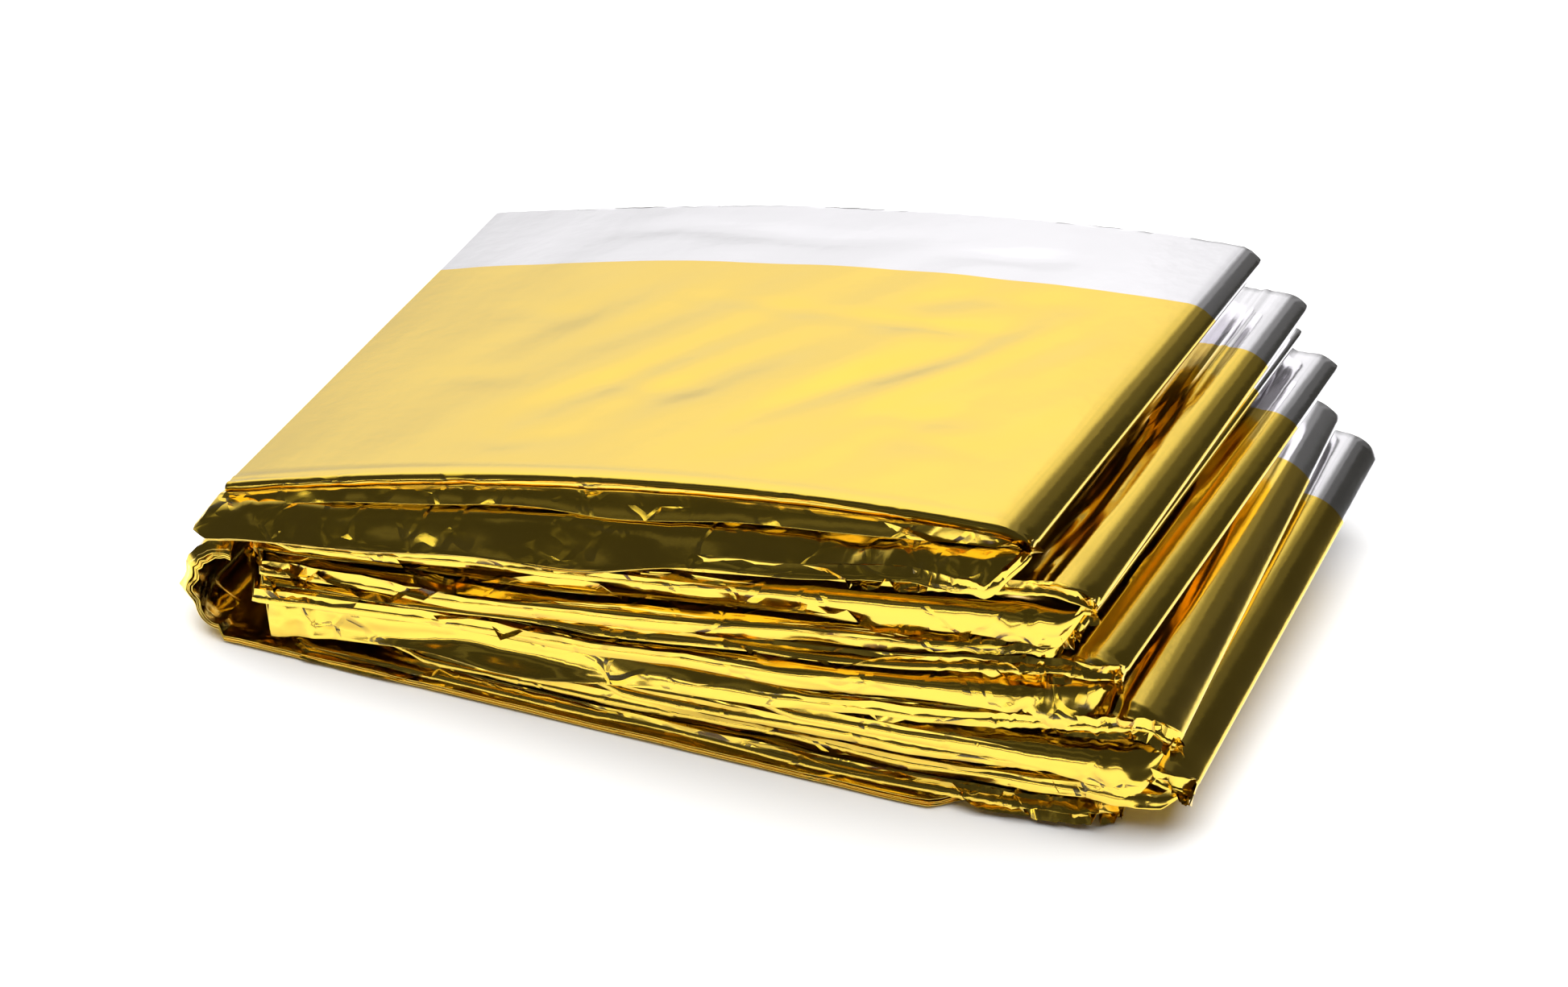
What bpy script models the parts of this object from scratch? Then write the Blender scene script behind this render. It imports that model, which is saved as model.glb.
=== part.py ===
"""Emergency foil blanket, folded into a packet.

The metallised film is folded lengthwise into a strip about 84 mm wide, many films thick,
and the strip is folded back and forth into a wedge: tight at the left, fanned at the right.
One solid follows the strip through all its passes, from the top sheet to the bottom one.
The front edges of the passes hang forward as lips, and two of them are deep flaps.
Sizes in the tables are in millimetres; x runs along the strip, y back across it, z up.
"""
import math
from collections import namedtuple

import bmesh
import bpy

MM = 0.001

FILM_BUNDLE = 1.0        # thickness of one pass of the strip
HINGE_Y = 10.4           # where the lips at the front begin
FLAP_HINGE_Y = (8.8, 9.5)  # the same on the two uppermost passes
BACK_Y = 93.5            # the strip's back edge
ORIGIN_X = 78.95         # middle of the packet's length, which becomes x = 0
ORIGIN_Y = 47.35         # middle of the packet's depth, which becomes y = 0

TOP_LEFT_FRONT = 25.0    # height of the top pass over the left folds, at the front
TOP_LEFT_BACK = 22.5     # the same at the back edge
LEFT_PITCH_FRONT = 1.87  # step from pass to pass over the left folds
LEFT_PITCH_BACK = 1.68
BACK_ARCH = 0.8          # the passes arch less at the back edge
LEFT_FLARE = 3.2         # the flap's end stands out this far at the left
FLARE_LENGTH = 20.0      # and comes back to the strip's own line within this length
FLAP_PASSES = (2, 9)     # passes whose front edge hangs down as a flap over those below
UPPER_BELLY = (1.1, 0.6)  # how much deeper the two upper edges hang in the middle
SECOND_FLAP_REACH = 95.0  # the lower flap runs out this far along the strip
SECOND_FLAP_LEAST = 2.6  # and is no deeper than this from there on
TOP_LENGTH = 130.0       # length over which the upper flaps belly out
LIP_LEAST = 0.25         # share of a lip that is left at the folds
LEFT_FADE = 5.0          # the lips grow to their full depth within this length at the left
FLAP_LEFT_LEAST = 0.6    # but the upper flaps keep this share of theirs
FLAP_COVER = 2.4         # a pass this far above a flap's low edge has no lip behind it
EDGE_WAVES = ((0.07, 7.0, 2.1), (0.05, 17.0, 1.0))  # share of the lip, length, step per pass
BACK_WAVE = 0.5          # the back edge is uneven by this much
BACK_WAVE_LENGTH = 11.0

WRAP_RADIUS = 7.2        # the bottom pass turns up round the left folds
WRAP_CENTRE_X = 3.4
WRAP_BACK_X = 11.4
WRAP_TURN = 178.0        # degrees
WRAP_DRAW_IN = 0.25      # its front edge draws back by this share of the lip as it rises
WRAP_STEPS = 9

RIGHT_ARC_STEPS = 5
LEFT_ARC_STEPS = 3

# One row for each fold at the right, from the top down: the end of the straight pass at the
# front and back, the height of its upper side there, the fold's own height at the front and
# back, and how far along the strip the lip fades out before it.
RightFold = namedtuple("RightFold", "name front_x front_z back_x back_z front_loop back_loop fade")
RIGHT_FOLDS = (
    RightFold("A", 130.2, 50.2, 139.3, 47.0, 3.6, 3.4, 16.0),
    RightFold("B", 139.4, 41.0, 147.0, 40.1, 4.2, 3.6, 12.0),
    RightFold("B2", 138.0, 33.0, 147.1, 33.6, 1.8, 1.8, 9.0),
    RightFold("C", 144.2, 29.4, 152.6, 30.0, 3.8, 3.4, 8.0),
    RightFold("D", 151.8, 21.6, 152.8, 20.8, 6.4, 4.4, 7.0),
    RightFold("E", 155.2, 12.6, 158.8, 15.8, 5.4, 5.6, 7.0),
    RightFold("F", 144.8, 4.6, 150.0, 4.6, 4.1, 4.1, 21.0),
)

# One row for each fold at the left: its end at the front and at the back.
LeftFold = namedtuple("LeftFold", "name front_x back_x")
LEFT_FOLDS = (
    LeftFold("left 1", 2.4, 11.6),
    LeftFold("left 2", 7.4, 14.0),
    LeftFold("left 3", 9.0, 16.5),
    LeftFold("left 4", 8.4, 15.0),
    LeftFold("left 5", 11.6, 17.0),
    LeftFold("left 6", 13.4, 19.0),
)

# One row for each pass, from the top down: how far its front edge stands out from the hinge
# line and falls below it, first at the knee and then at the edge, and how far it arches up.
Pass = namedtuple("Pass", "knee_out knee_fall edge_out edge_fall arch")
PASSES = (
    Pass(1.1, 1.3, 2.0, 2.8, 0.85),
    Pass(2.6, 2.6, 5.0, 5.0, 0.42),
    Pass(1.6, 0.4, 3.2, 1.0, 0.30),
    Pass(4.0, 1.7, 7.0, 3.4, 0.15),
    Pass(3.2, 1.3, 5.6, 2.4, 0.05),
    Pass(4.2, 1.7, 7.4, 3.2, 0.0),
    Pass(3.4, 1.3, 5.6, 2.3, 0.0),
    Pass(4.2, 1.1, 6.8, 1.8, 0.0),
    Pass(7.6, 2.4, 8.6, 7.4, 0.0),
    Pass(3.6, 0.9, 6.4, 1.6, 0.0),
    Pass(4.2, 0.9, 7.6, 1.5, 0.0),
    Pass(3.8, 0.5, 6.6, 0.9, 0.0),
    Pass(4.0, 0.3, 7.2, 0.5, 0.0),
    Pass(5.0, 0.0, 9.4, 0.0, 0.0),
)

# Places along one pass, from its left end to its right end.
ALONG = (0.0, 0.035, 0.10, 0.22, 0.43, 0.64, 0.845, 0.92, 0.965, 1.0)

# Places across the strip behind the hinge line, as shares of the way to the back edge.
ACROSS = (0.0, 0.07, 0.36, 0.68, 0.95, 1.0)


def clear_scene():
    for obj in list(bpy.data.objects):
        bpy.data.objects.remove(obj, do_unlink=True)


def mix(a, b, share):
    return a + (b - a) * share


def clamp(value, low, high):
    return max(low, min(high, value))


def left_height(number, share):
    """Height of a pass over the left folds, at a share of the way from the hinge to the back."""
    front = TOP_LEFT_FRONT - LEFT_PITCH_FRONT * (number - 1)
    back = TOP_LEFT_BACK - LEFT_PITCH_BACK * (number - 1)
    return mix(front, back, share)


def pass_ends(number, share):
    """Left x and z, then right x and z, of one pass."""
    right = RIGHT_FOLDS[(number - 1) // 2]
    left = LEFT_FOLDS[clamp(number // 2 - 1, 0, len(LEFT_FOLDS) - 1)]
    right_x = mix(right.front_x, right.back_x, share)
    right_z = mix(right.front_z, right.back_z, share)
    if number % 2 == 0:
        right_z -= mix(right.front_loop, right.back_loop, share)
    left_x = mix(left.front_x, left.back_x, share)
    left_z = left_height(number, share)
    if number == len(PASSES):
        left_x = mix(WRAP_CENTRE_X, WRAP_BACK_X, share)
        left_z = right_z = FILM_BUNDLE / 2
    return left_x, left_z, right_x, right_z


def pass_point(number, t, share):
    """A point of a pass, t of the way from its left end to its right end."""
    left_x, left_z, right_x, right_z = pass_ends(number, share)
    arch = PASSES[number - 1].arch * mix(1.0, BACK_ARCH, share)
    rise = t * (1 + arch * (1 - t))
    return mix(left_x, right_x, t), mix(left_z, right_z, rise)


def pass_height(number, x):
    left_x, _, right_x, _ = pass_ends(number, 0.0)
    return pass_point(number, clamp((x - left_x) / (right_x - left_x), 0, 1), 0.0)[1]


def hinge_y(number):
    return FLAP_HINGE_Y[number - 1] if number <= len(FLAP_HINGE_Y) else HINGE_Y


def edge_depth(number, x):
    """How far an edge falls at x: the upper flaps are deeper in the middle of their length,
    and the lower one runs out to the right."""
    fall = PASSES[number - 1].edge_fall
    if number <= len(FLAP_HINGE_Y):
        return fall * (1 + UPPER_BELLY[number - 1] * math.sin(math.pi * clamp(x / TOP_LENGTH, 0, 1)))
    if number == FLAP_PASSES[1]:
        return mix(fall, SECOND_FLAP_LEAST, clamp(x / SECOND_FLAP_REACH, 0, 1))
    return fall


def lip_share(number, x):
    """How much of a pass's lip is there at x, from LIP_LEAST to 1."""
    right = RIGHT_FOLDS[(number - 1) // 2]
    share = clamp((right.front_x - x) / right.fade, 0, 1)
    if number != len(PASSES):
        least = FLAP_LEFT_LEAST if number <= len(FLAP_HINGE_Y) else 0.0
        rise = clamp((x - pass_ends(number, 0.0)[0]) / LEFT_FADE, 0, 1)
        share = min(share, mix(least, 1, rise))
    for flap in FLAP_PASSES:
        if number > flap and number != len(PASSES):
            flap_low = pass_height(flap, x) - edge_depth(flap, x)
            share = min(share, clamp(1 + (flap_low - pass_height(number, x)) / FLAP_COVER, 0, 1))
    return max(share, LIP_LEAST)


def lip(number, x):
    """Out and fall of the knee and of the edge, with the edge a little uneven."""
    row = PASSES[number - 1]
    share = lip_share(number, x)
    wave = 1.0
    if number != len(PASSES):
        wave += sum(size * math.sin(x / length + step * number) for size, length, step in EDGE_WAVES)
    depth = edge_depth(number, x)
    knee_fall = row.knee_fall
    if number <= len(FLAP_HINGE_Y):
        knee_fall *= depth / row.edge_fall
    steep = share ** 1.5
    return (row.knee_out * share, knee_fall * steep, row.edge_out * share * wave, depth * steep * wave)


def stations():
    return ("edge", "knee") + ACROSS


def lip_point(number, x, z, station):
    """Where a lip's knee or edge is, in front of the hinge point at x and z."""
    knee_out, knee_fall, edge_out, edge_fall = lip(number, x)
    out, fall = (knee_out, knee_fall) if station == "knee" else (edge_out, edge_fall)
    flare = 0.0
    if number <= len(FLAP_HINGE_Y):
        flare = LEFT_FLARE * out / PASSES[1].edge_out * clamp(1 - x / FLARE_LENGTH, 0, 1)
    return x - flare, hinge_y(number) - out, z - fall


def across_point(number, x, z, share):
    """A point behind the hinge line; the back edge is cut a little unevenly."""
    uneven = BACK_WAVE * math.sin(x / BACK_WAVE_LENGTH + number) if share == 1.0 else 0.0
    return x, mix(hinge_y(number), BACK_Y, share) + uneven, z


def point_at(number, x, z, station):
    if isinstance(station, str):
        return lip_point(number, x, z, station)
    return across_point(number, x, z, station)


def strip_line(station):
    """All points of the strip at one station, from the top sheet's left edge to the wrap."""
    share = 0.0 if isinstance(station, str) else station
    points = []
    for number in range(1, len(PASSES) + 1):
        rightward = number % 2 == 1
        for t in ALONG if rightward else reversed(ALONG):
            x, z = pass_point(number, t, share)
            points.append(point_at(number, x, z, station))
        if number < len(PASSES):
            points += fold(number, rightward, share, station)
    return points + wrap(share, station)


def fold(number, rightward, share, station):
    """The round fold that joins a pass to the next one down."""
    end = 1.0 if rightward else 0.0
    x0, z0 = pass_point(number, end, share)
    x1, z1 = pass_point(number + 1, end, share)
    steps = RIGHT_ARC_STEPS if rightward else LEFT_ARC_STEPS
    radius = (z0 - z1) / 2
    points = []
    for step in range(1, steps + 1):
        blend = step / (steps + 1)
        turn = math.pi * blend
        x = mix(x0, x1, blend)
        z = (z0 + z1) / 2 + math.cos(turn) * radius
        bulge = math.sin(turn) * radius * (1 if rightward else -1)
        upper = point_at(number, x, z, station)
        lower = point_at(number + 1, x, z, station)
        point = [mix(a, b, blend) for a, b in zip(upper, lower)]
        points.append((point[0] + bulge, point[1], point[2]))
    return points


def wrap(share, station):
    """The bottom pass turns up round the left folds and ends there."""
    number = len(PASSES)
    x0, z0 = pass_point(number, 0.0, share)
    points = []
    for step in range(1, WRAP_STEPS + 1):
        turn = math.radians(WRAP_TURN) * step / WRAP_STEPS
        x = x0 - math.sin(turn) * WRAP_RADIUS
        z = z0 + (1 - math.cos(turn)) * WRAP_RADIUS
        if not isinstance(station, str):
            points.append(across_point(number, x, z, station))
            continue
        knee_out, _, edge_out, _ = lip(number, TOP_LENGTH / 2)
        out = (knee_out if station == "knee" else edge_out) * (1 - WRAP_DRAW_IN * step / WRAP_STEPS)
        points.append((x, HINGE_Y - out, z))
    return points


def foil_material():
    material = bpy.data.materials.new("gold_metallised_film")
    material.use_nodes = True
    shader = material.node_tree.nodes["Principled BSDF"]
    shader.inputs["Base Color"].default_value = (0.80, 0.56, 0.16, 1.0)
    shader.inputs["Metallic"].default_value = 1.0
    shader.inputs["Roughness"].default_value = 0.22
    material.diffuse_color = (0.80, 0.56, 0.16, 1.0)
    return material


def build_foil_blanket(collection):
    """Fold a flat grid onto the strip's lines and give it the thickness of the film bundle."""
    lines = [strip_line(station) for station in stations()]
    strip = bmesh.new()
    bmesh.ops.create_grid(strip, x_segments=len(lines[0]) - 1, y_segments=len(lines) - 1, size=1.0)
    strip.verts.ensure_lookup_table()
    places = [point for line in lines for point in line]
    for vertex, (x, y, z) in zip(strip.verts, places, strict=True):
        vertex.co = ((x - ORIGIN_X) * MM, (y - ORIGIN_Y) * MM, z * MM)
    mesh = bpy.data.meshes.new("foil_blanket")
    strip.to_mesh(mesh)
    strip.free()
    mesh.materials.append(foil_material())
    blanket = bpy.data.objects.new("foil_blanket", mesh)
    collection.objects.link(blanket)
    thickness = blanket.modifiers.new("film bundle", "SOLIDIFY")
    thickness.thickness = FILM_BUNDLE * MM
    thickness.offset = 0.0
    thickness.use_even_offset = True
    thickness.use_quality_normals = True
    return blanket


def main():
    clear_scene()
    collection = bpy.data.collections.new("emergency_foil_blanket")
    bpy.context.scene.collection.children.link(collection)
    build_foil_blanket(collection)


main()
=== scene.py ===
# %% [markdown]
# # An emergency foil blanket, folded into a packet
# The real thing is one rectangle of polyester film, 12 thousandths of a millimetre thick, that
# has been coated with metal in a vacuum and lacquered gold on one face. It is folded lengthwise
# into a strip and the strip is folded back and forth. This lesson builds the films of that strip
# on the folds of the solid model, and then gives them a metal that behaves like the real one.

# %% Load the solid model
import math
from collections import namedtuple

import bpy
import numpy as np
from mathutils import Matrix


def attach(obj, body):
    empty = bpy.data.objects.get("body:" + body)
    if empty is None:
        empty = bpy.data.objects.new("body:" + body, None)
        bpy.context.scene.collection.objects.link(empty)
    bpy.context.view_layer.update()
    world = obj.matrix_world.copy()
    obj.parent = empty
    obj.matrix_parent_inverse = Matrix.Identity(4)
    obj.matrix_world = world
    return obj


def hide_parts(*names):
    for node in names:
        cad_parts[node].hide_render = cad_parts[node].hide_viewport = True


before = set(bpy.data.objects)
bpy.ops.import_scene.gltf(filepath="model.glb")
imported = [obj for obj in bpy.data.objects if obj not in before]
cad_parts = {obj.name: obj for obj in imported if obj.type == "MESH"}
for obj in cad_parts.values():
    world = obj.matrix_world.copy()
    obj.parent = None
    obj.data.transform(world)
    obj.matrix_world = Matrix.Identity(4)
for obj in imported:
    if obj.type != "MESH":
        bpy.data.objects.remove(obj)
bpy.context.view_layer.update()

MM = 0.001

# %% [markdown]
# ## Where the folds are
# A folded packet can be drawn, simulated, or worked out. Simulation would take minutes and never
# land on the folds of the photo, so the strip is worked out from two short tables instead: one row
# for each fold at the right, one for each at the left. The right folds stand where the solid model
# has them, in its own millimetres. The left folds and the rounding of each right fold are a little
# looser than the solid's, as real film is, and the films keep to its box within about 1 mm.

# %% The folds and the passes between them
ORIGIN_X, ORIGIN_Y = 78.95, 47.35                  # the frame's origin, from the left front corner
HINGE_Y = 10.4                                     # where the lips leave their passes
TOP_HINGE_Y = (8.8, 9.5)                           # and where those of the two top passes do
BACK_Y = 93.5                                      # the back edge
BOTTOM_Z = 0.5                                     # the middle of the bottom pass
TOP_LEFT_FRONT, TOP_LEFT_BACK = 25.0, 22.5         # how high the top pass starts at the left
LEFT_PITCH_FRONT, LEFT_PITCH_BACK = 1.87, 1.68     # and how much lower each next pass does
BACK_ARCH = 0.8                                    # the arch at the back, as a share of the front's

# Where the tip of each right fold is at the front and at the back, how high the fold is there, how
# soon its lip fades towards the tip, and how long the film rolls over before it.
RightFold = namedtuple("RightFold", "name front_x front_z back_x back_z front_loop back_loop fade roll")
RIGHT_FOLDS = (
    RightFold("A", 130.2, 50.2, 139.3, 47.0, 3.6, 3.4, 6.0, 6.0),
    RightFold("B", 139.4, 41.0, 147.0, 40.1, 4.2, 3.6, 4.0, 7.0),
    RightFold("B2", 138.0, 33.0, 147.1, 33.6, 1.8, 1.8, 6.0, 4.4),
    RightFold("C", 144.2, 29.4, 152.6, 30.0, 3.8, 3.4, 4.0, 6.6),
    RightFold("D", 151.8, 21.6, 152.8, 20.8, 6.4, 4.4, 9.0, 8.4),
    RightFold("E", 155.2, 12.6, 158.8, 15.8, 5.4, 5.6, 4.0, 8.0),
    RightFold("F", 144.8, 4.6, 150.0, 4.6, 4.1, 4.1, 6.0, 6.4),
)

# Where the strip turns at the left.
LeftFold = namedtuple("LeftFold", "name front_x back_x")
LEFT_FOLDS = (
    LeftFold("left 1", 2.4, 11.6),
    LeftFold("left 2", 5.0, 12.0),
    LeftFold("left 3", 5.8, 14.5),
    LeftFold("left 4", 5.2, 12.0),
    LeftFold("left 5", 8.0, 15.0),
    LeftFold("left 6", 10.5, 17.0),
)

# How far a pass arches up, how crumpled its lip is at the left and at the right, and how much
# deeper the lip hangs in its right corner, in millimetres.
Pass = namedtuple("Pass", "arch left_crumple right_crumple corner")
PASSES = (
    Pass(0.85, 0.12, 0.20, 0.0),
    Pass(0.42, 0.35, 0.70, 0.9),
    Pass(0.30, 0.20, 0.40, 0.0),
    Pass(0.15, 0.30, 0.70, 0.8),
    Pass(0.05, 0.35, 0.50, 0.4),
    Pass(0.0, 0.35, 0.80, 1.2),
    Pass(0.0, 0.30, 0.60, 0.6),
    Pass(0.0, 0.35, 1.10, 2.2),
    Pass(0.0, 1.00, 0.80, 0.3),
    Pass(0.0, 0.50, 1.00, 1.4),
    Pass(0.0, 0.40, 0.60, 0.0),
    Pass(0.0, 0.30, 1.00, 0.4),
    Pass(0.0, 0.25, 0.60, 0.0),
    Pass(0.0, 0.00, 0.15, 0.0),
)
COUNT = len(PASSES)
TOP_LENGTH = 130.0
print("passes:", COUNT, "folds at the right:", len(RIGHT_FOLDS))

# %% [markdown]
# A right fold isn't a half circle. The upper pass rolls over towards the tip, the lower one rises a
# little, and the film turns tightly in what is left. That roll is what gives each fold its dark
# side and the bright line under it.

# %% A point of a pass
NOSE = 0.7               # how far the tight turn reaches past the rolled passes
TURN_GAP = 1.05          # the least height of that turn
UPPER_ROLL = (0.74, 0.50)    # the part of a fold's height that its upper pass rolls, front and back
LOWER_ROLL = (0.06, 0.26)    # and that its lower pass does
ROLL_BACK = 0.60         # how long a roll is at the back, as a share of its length at the front
ROLL_POWER = 2.5         # how sharply it steepens
TURN_REACH = 2.0         # how far the tight turn swings out, for its height
WRAP_X = (3.4, 11.4)     # where the bottom pass begins to turn up, at the front and the back
WRAP_RADIUS = 7.2
WRAP_TURN = math.radians(178)
WRAP_DRAW_IN = 0.42      # how much of its lip is lost round that turn


def mix(a, b, share):
    """A value between a and b, at this share of the way."""
    return a + (b - a) * share


def pass_ends(number, share):
    """Left x and z, right x and z and the fold's height, at shares of the way to the back."""
    right = RIGHT_FOLDS[(number - 1) // 2]
    left = LEFT_FOLDS[min(max(number // 2 - 1, 0), len(LEFT_FOLDS) - 1)]
    loop = mix(right.front_loop, right.back_loop, share)
    right_x = mix(right.front_x, right.back_x, share) + loop / 2 - NOSE
    right_z = mix(right.front_z, right.back_z, share) - (loop if number % 2 == 0 else 0)
    left_x = mix(left.front_x, left.back_x, share)
    left_z = mix(TOP_LEFT_FRONT - LEFT_PITCH_FRONT * (number - 1),
                 TOP_LEFT_BACK - LEFT_PITCH_BACK * (number - 1), share)
    if number == COUNT:
        left_x = mix(WRAP_X[0], WRAP_X[1], share)
        left_z = right_z = BOTTOM_Z + 0 * share
    return left_x, left_z, right_x, right_z, loop


def roll_share(number, loop, share):
    """The part of a right fold's height that this pass takes in rolling towards it."""
    lower = mix(*LOWER_ROLL, share)
    if number % 2 == 0:
        return lower
    return np.minimum(mix(*UPPER_ROLL, share), 1 - lower - TURN_GAP / loop)


def pass_point(number, t, share):
    """x and z of a pass, t of the way along it. Near a right fold the film rolls over."""
    left_x, left_z, right_x, right_z, loop = pass_ends(number, share)
    arch = PASSES[number - 1].arch * mix(1.0, BACK_ARCH, share)
    length = RIGHT_FOLDS[(number - 1) // 2].roll * mix(1.0, ROLL_BACK, share)
    x = mix(left_x, right_x, t)
    z = mix(left_z, right_z, t * (1 + arch * (1 - t)))
    if number < COUNT:
        way = np.clip((x - right_x + length) / length, 0, 1)
        roll = way ** ROLL_POWER * roll_share(number, loop, share) * loop
        z = z + (-roll if number % 2 else roll)
    return x, z


# %% [markdown]
# ## The lips at the front
# The front edge of every pass hangs forward over the ones below. Each lip leaves the pass at a
# hinge line, bends at a shoulder and at an edge, and ends in a short skirt. What a lip shows
# depends on its slope alone: near 45 degrees it mirrors the dark room, and a skirt that stands
# upright mirrors the white floor. So each lip has its own row of slopes, at four places along it.

# %% The shape of every lip
LIP_PLACES = (10.0, 65.0, 115.0)
LIP_END = 6.0            # how far inside a right fold's tip the last of the four places is
# Each pair is how far out from the hinge and how far down from the pass, one pair for each place.
# A skirt's pair is counted from its edge.
Lip = namedtuple("Lip", "shoulder edge skirt")
LIPS = (
    Lip(((0.7, 0.8), (0.3, 1.5), (0.2, 0.9), (0.2, 0.7)),
        ((2.4, 2.7), (3.4, 4.5), (2.7, 3.0), (2.3, 2.4)),
        ((0.2, 0.2), (0.2, 0.2), (0.2, 0.2), (0.2, 0.2))),
    Lip(((3.0, 0.2), (4.2, 0.1), (3.2, 0.1), (3.0, 0.1)),
        ((7.5, 5.0), (8.8, 5.5), (6.8, 3.4), (5.6, 3.4)),
        ((0.3, 0.3), (0.2, 0.2), (0.1, 0.4), (0.0, 1.0))),
    Lip(((3.0, 0.4), (3.0, 0.5), (1.8, 0.2), (1.4, 0.1)),
        ((5.0, 1.2), (5.4, 1.8), (3.0, 0.5), (2.2, 0.3)),
        ((0.0, 0.4), (0.0, 0.8), (0.1, 1.5), (0.1, 0.4))),
    Lip(((3.2, 0.6), (2.6, 0.4), (2.2, 0.1), (1.8, 0.1)),
        ((5.6, 2.2), (4.6, 1.4), (3.4, 0.9), (2.6, 1.0)),
        ((0.1, 0.5), (0.0, 1.4), (0.1, 3.2), (0.2, 4.6))),
    Lip(((3.0, 0.5), (3.4, 0.3), (2.2, 0.1), (1.6, 0.1)),
        ((5.0, 1.6), (5.8, 0.8), (3.8, 0.3), (2.6, 0.3)),
        ((0.2, 0.2), (0.2, 0.2), (0.2, 0.3), (0.0, 0.3))),
    Lip(((4.0, 0.6), (4.4, 0.5), (2.8, 0.2), (1.8, 0.1)),
        ((7.2, 1.8), (7.8, 1.6), (4.8, 0.8), (2.8, 0.6)),
        ((0.1, 0.4), (-0.1, 1.6), (-0.1, 3.2), (0.1, 4.2))),
    Lip(((4.0, 0.8), (4.8, 0.9), (3.6, 0.4), (2.2, 0.3)),
        ((7.0, 2.0), (8.4, 2.6), (6.8, 1.2), (3.6, 0.7)),
        ((0.1, 0.3), (0.0, 1.3), (0.1, 0.7), (0.0, 0.5))),
    Lip(((4.6, 0.8), (4.8, 0.9), (4.2, 0.4), (2.6, 0.3)),
        ((8.0, 2.4), (8.2, 2.5), (6.8, 1.4), (4.0, 1.4)),
        ((0.1, 0.6), (-0.1, 1.5), (0.0, 2.0), (0.3, 3.4))),
    Lip(((6.4, 0.9), (6.0, 1.0), (4.4, 0.8), (2.8, 0.4)),
        ((6.3, 5.2), (6.8, 4.8), (7.8, 2.2), (4.6, 1.0)),
        ((1.0, 3.4), (0.6, 1.6), (0.0, 1.4), (0.0, 0.6))),
    Lip(((3.4, 0.5), (4.2, 0.5), (4.2, 0.5), (2.8, 0.4)),
        ((5.6, 1.0), (7.0, 1.5), (7.0, 1.8), (4.4, 1.4)),
        ((0.1, 0.4), (0.0, 1.3), (0.0, 1.9), (0.3, 2.6))),
    Lip(((4.0, 0.6), (4.2, 0.5), (4.2, 0.5), (2.4, 0.2)),
        ((7.0, 1.4), (7.4, 1.6), (7.2, 1.6), (3.6, 0.7)),
        ((0.1, 0.5), (0.1, 1.5), (0.1, 1.4), (0.0, 0.6))),
    Lip(((3.6, 0.4), (3.8, 0.4), (3.6, 0.4), (1.5, 0.1)),
        ((6.2, 0.9), (6.4, 1.3), (5.6, 1.1), (2.2, 0.6)),
        ((0.1, 0.4), (0.0, 1.1), (0.0, 1.2), (0.1, 1.7))),
    Lip(((4.2, 0.2), (4.6, 0.5), (4.4, 0.6), (3.6, 0.5)),
        ((7.6, 0.3), (8.0, 1.9), (7.6, 1.6), (6.0, 1.2)),
        ((0.1, 0.1), (0.0, 1.2), (0.0, 0.9), (0.0, 0.8))),
    Lip(((5.0, -0.1), (5.0, -0.1), (5.0, -0.1), (4.6, -0.1)),
        ((8.6, -0.4), (8.6, -0.4), (8.6, -0.4), (7.6, -0.4)),
        ((0.8, 0.1), (0.8, 0.1), (0.8, 0.1), (0.7, 0.1))),
)
TOP_ROLL = Lip(((0.7, 0.0), (0.8, 0.1), (0.7, 0.0), (0.7, 0.0)),
               ((1.0, 0.8), (1.2, 1.2), (1.0, 0.8), (1.0, 0.8)),
               ((-1.1, 0.5), (-1.3, 0.9), (-1.1, 0.5), (-1.0, 0.4)))

# %% [markdown]
# No lip runs at its full depth from end to end. It starts short at the left fold, ends in a slanted
# or crumpled corner at the right, and stops where a deep flap above covers it.

# %% How the lips begin and end
UPPER_FLAP, LOWER_FLAP = 2, 9           # the passes whose lips are deep flaps
LIP_LEAST = 0.16                        # the least share of a lip that is left where it fades
FADE_POWER, FALL_POWER = 0.6, 1.4       # the shape of a fade, and how much faster its fall fades
LEFT_FADE = 2.4                         # how soon a lip is full at the left
TOP_LEFT_LEAST = 0.85                   # the share that the two top lips start with
FLAP_COVER = 2.4                        # how far past a pass a flap hangs when it ends its lip
TIP_REACH = 1.0                         # how far past a fold's tip an upper pass's lip fades out
CORNER_INSET, CORNER_FADE = 4.0, 3.0    # where a lower pass's lip ends, inside the fold's tip
BOTTOM_INSET, BOTTOM_FADE = 19.0, 8.0   # and where that of the bottom pass does
CORNER_LENGTH, CORNER_POWER = 13.0, 1.5    # the part of a lip that hangs deeper at the right
LEFT_FLARE, FLARE_LENGTH = 0.6, 20.0    # how the two top lips spread to the left
# How far the left end of each lip slants where the lip is SLANT_OUT deep. The slant straightens
# along the lip from SLANT_START on.
LEFT_SLANT = (0, 0, 1.2, 2.2, 0.8, 2.0, 2.6, 1.2, 5.0, 4.0, 4.5, 5.5, 6.0, 0)
SLANT_START, SLANT_LENGTH, SLANT_OUT, SLANT_MOST = 5.0, 12.0, 7.0, 1.2
# Where the upper flap sinks away from the lip above, and where the lower flap's skirt stands out:
# the middle of each along the strip, its width and its depth.
FLAP_DENT = (106.0, 9.0, 1.5)
FLAP_FLARE = (47.0, 15.0, 2.6)
# A lip's unevenness is the sum of slow waves along it: the height of each as a share of the lip,
# its length over two pi, and its shift from one pass to the next.
FALL_WAVES = ((0.10, 13.0, 1.9), (0.06, 5.3, 1.0))
OUT_WAVES = ((0.06, 17.0, 1.0), (0.03, 6.1, 2.3))
SKIRT_WAVES = ((0.30, 15.0, 1.7), (0.15, 6.0, 2.0))
# The six rows of a lip's numbers: out and fall of its shoulder, of its edge and of its hem.
SHOULDER, EDGE, HEM = 0, 2, 4


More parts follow.
